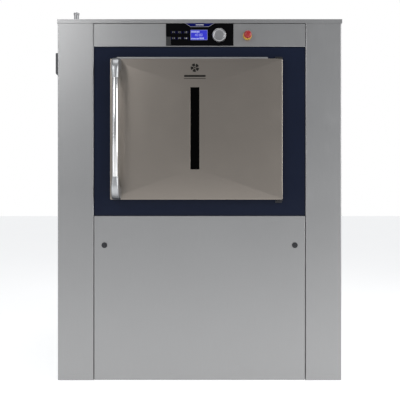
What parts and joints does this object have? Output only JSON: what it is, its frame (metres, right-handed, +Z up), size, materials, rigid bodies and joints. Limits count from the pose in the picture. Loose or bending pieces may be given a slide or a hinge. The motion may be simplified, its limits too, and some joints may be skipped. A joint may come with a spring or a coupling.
{
  "type": "tumble dryer",
  "caption": "Commercial tumble dryer with a side-hinged steel door, narrow sight slot, bar handle, top control panel, service flap and full drive and air path.",
  "frame": {"origin": "centre of the cabinet on the floor", "axes": "+Z up, the front with the door faces -Y, +X to the right seen from the front"},
  "size_m": [1.4375, 1.434, 1.873],
  "materials": {
    "stainless": "brushed",
    "door_steel": "brushed",
    "galvanised": "satin",
    "frame_paint": "satin",
    "navy_panel": "gloss",
    "dark_plastic": "matte",
    "box_paint": "satin",
    "conduit": "satin",
    "dark_steel": "satin",
    "seal_rubber": "matte",
    "smoked_glass": "gloss",
    "handle_polish": "polished",
    "handle_cast": "satin",
    "drum_steel": "brushed",
    "shaft_steel": "machined",
    "machine_blue": "satin",
    "cast_iron": "machined",
    "belt_rubber": "matte",
    "heater_metal": "satin",
    "element_sheath": "heat tinted",
    "lint_metal": "satin",
    "fascia_black": "gloss",
    "display_blue": "lit",
    "badge_film": "gloss",
    "key_black": "matte",
    "knob_silver": "satin",
    "stop_yellow": "gloss",
    "stop_red": "gloss",
    "stop_stem": "matte"
  },
  "bodies": {
    "root": {"base_frame": "frame_paint", "upper_frame": "frame_paint", "front_pillars": "stainless", "side_panels": "stainless", "rear_panel": "galvanised", "top_cover": "stainless", "header_panel": "stainless", "door_surround": "navy_panel", "front_bulkhead": "galvanised", "terminal_cover": "dark_plastic", "supply_conduit": "conduit", "electrical_box": "box_paint", "flap_hinges": "galvanised", "hinge_brackets": "dark_steel", "shaft_bearings": "shaft_steel", "bearing_housing": "machine_blue", "drive_belt": "belt_rubber", "gear_motor": "machine_blue", "motor_bracket": "frame_paint", "drum_housing": "galvanised", "heater_box": "heater_metal", "heater_elements": "element_sheath", "lint_housing": "galvanised", "fan_housing": "galvanised", "fan_motor": "machine_blue", "exhaust_spigot": "galvanised", "control_fascia": "fascia_black", "display": "display_blue", "badge_plate": "badge_film", "stop_collar": "stop_yellow"},
    "flap": {"service_flap": "stainless"},
    "lock_left": {"lock_left": "dark_steel"},
    "lock_right": {"lock_right": "dark_steel"},
    "lint_drawer": {"lint_drawer": "lint_metal"},
    "door": {"door_skin": "door_steel", "door_top_lip": "stainless", "door_liner": "galvanised", "door_gasket": "seal_rubber", "sight_glass": "smoked_glass", "handle_tube": "handle_polish", "handle_brackets": "handle_cast", "hinge_bushes": "galvanised"},
    "drum": {"drum_shell": "drum_steel", "drum_back": "drum_steel", "drum_lifters": "drum_steel", "drum_shaft": "shaft_steel", "drum_pulley": "cast_iron"},
    "motor_pulley": {"motor_pulley": "cast_iron"},
    "fan_wheel": {"fan_wheel": "lint_metal"},
    "encoder_shaft": {"encoder_shaft": "shaft_steel"},
    "knob": {"knob": "knob_silver"},
    "port_cover": {"port_cover": "dark_plastic"},
    "stop_stem": {"stop_stem": "stop_stem"},
    "stop_head": {"stop_head": "stop_red"},
    "key_1": {"key_1": "key_black"},
    "key_2": {"key_2": "key_black"},
    "key_3": {"key_3": "key_black"},
    "key_4": {"key_4": "key_black"},
    "key_5": {"key_5": "key_black"},
    "key_6": {"key_6": "key_black"}
  },
  "joints": [
    {"name": "door_hinge", "type": "hinge", "parent": "root", "child": "door", "pos_m": [0.403, -0.618, 1.253], "axis": [0, 0, 1], "range_deg": [0, 175]},
    {"name": "flap_hinge", "type": "hinge", "parent": "root", "child": "flap", "pos_m": [0, -0.592, 0.024], "axis": [1, 0, 0], "range_deg": [0, 80]},
    {"name": "lint_drawer_slide", "type": "slide", "parent": "root", "child": "lint_drawer", "axis": [0, -1, 0], "range_m": [0, 0.35]},
    {"name": "lock_left_turn", "type": "hinge", "parent": "flap", "child": "lock_left", "pos_m": [-0.476, -0.6, 0.6755], "axis": [0, 1, 0], "range_deg": [-90, 0]},
    {"name": "lock_right_turn", "type": "hinge", "parent": "flap", "child": "lock_right", "pos_m": [0.476, -0.6, 0.6755], "axis": [0, -1, 0], "range_deg": [-90, 0]},
    {"name": "drum_spin", "type": "hinge", "parent": "root", "child": "drum", "pos_m": [0, 0, 1.24], "axis": [0, 1, 0], "continuous": true},
    {"name": "motor_spin", "type": "hinge", "parent": "root", "child": "motor_pulley", "pos_m": [-0.33, 0.45, 0.33], "axis": [0, 1, 0], "continuous": true},
    {"name": "fan_spin", "type": "hinge", "parent": "root", "child": "fan_wheel", "pos_m": [0.387, -0.1, 0.54], "axis": [1, 0, 0], "continuous": true},
    {"name": "key_1_press", "type": "slide", "parent": "root", "child": "key_1", "axis": [0, 1, 0], "range_m": [0, 0.0008], "stiffness_N_per_m": 400},
    {"name": "key_2_press", "type": "slide", "parent": "root", "child": "key_2", "axis": [0, 1, 0], "range_m": [0, 0.0008], "stiffness_N_per_m": 400},
    {"name": "key_3_press", "type": "slide", "parent": "root", "child": "key_3", "axis": [0, 1, 0], "range_m": [0, 0.0008], "stiffness_N_per_m": 400},
    {"name": "key_4_press", "type": "slide", "parent": "root", "child": "key_4", "axis": [0, 1, 0], "range_m": [0, 0.0008], "stiffness_N_per_m": 400},
    {"name": "key_5_press", "type": "slide", "parent": "root", "child": "key_5", "axis": [0, 1, 0], "range_m": [0, 0.0008], "stiffness_N_per_m": 400},
    {"name": "key_6_press", "type": "slide", "parent": "root", "child": "key_6", "axis": [0, 1, 0], "range_m": [0, 0.0008], "stiffness_N_per_m": 400},
    {"name": "selector_turn", "type": "hinge", "parent": "root", "child": "encoder_shaft", "pos_m": [0.098, -0.6, 1.724], "axis": [0, 1, 0], "continuous": true},
    {"name": "selector_press", "type": "slide", "parent": "encoder_shaft", "child": "knob", "axis": [0, 1, 0], "range_m": [0, 0.0012], "stiffness_N_per_m": 1500},
    {"name": "port_cover_hinge", "type": "hinge", "parent": "root", "child": "port_cover", "pos_m": [-0.1665, -0.6046, 1.6945], "axis": [0, 0, -1], "range_deg": [0, 100]},
    {"name": "stop_press", "type": "slide", "parent": "root", "child": "stop_stem", "axis": [0, 1, 0], "range_m": [0, 0.006]},
    {"name": "stop_twist", "type": "hinge", "parent": "stop_stem", "child": "stop_head", "pos_m": [0.2385, -0.62, 1.7225], "axis": [0, -1, 0], "range_deg": [0, 45], "stiffness_Nm_per_rad": 0.05}
  ],
  "couplings": [
    {"joint": "lint_drawer_slide", "follows": "flap_hinge", "m_per_rad": 0.25},
    {"joint": "motor_spin", "follows": "drum_spin", "ratio": 6}
  ]
}
